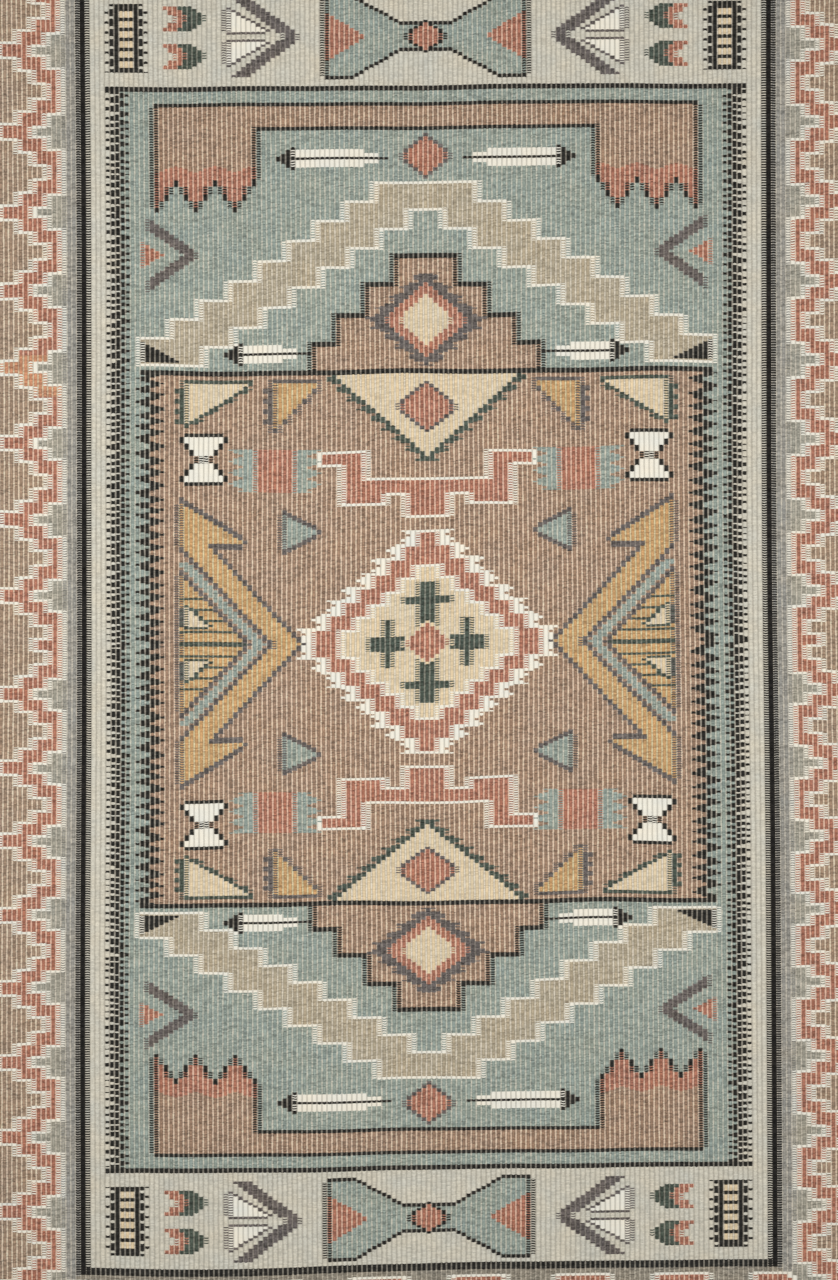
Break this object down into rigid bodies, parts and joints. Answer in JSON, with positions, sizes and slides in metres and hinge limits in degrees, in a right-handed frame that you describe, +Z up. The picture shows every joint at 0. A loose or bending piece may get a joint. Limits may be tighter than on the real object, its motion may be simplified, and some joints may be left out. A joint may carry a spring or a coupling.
{
  "type": "navajo rug",
  "caption": "Flat tapestry-woven wool rug with raised warp ribs, stepped border, teal and brown panels and geometric figures.",
  "frame": {"origin": "middle of the rug's box, on the surface that it lies on", "axes": "+Z up out of the rug's face, +Y along its length towards the upper end, +X across it"},
  "size_m": [0.7522, 1.223, 0.0034],
  "materials": {
    "woven_wool": "matte handspun wool tapestry weave in dusty teal, rose brown, cream, rust, mustard, grey and near black"
  },
  "bodies": {
    "root": {"rug": "woven_wool"}
  },
  "joints": []
}
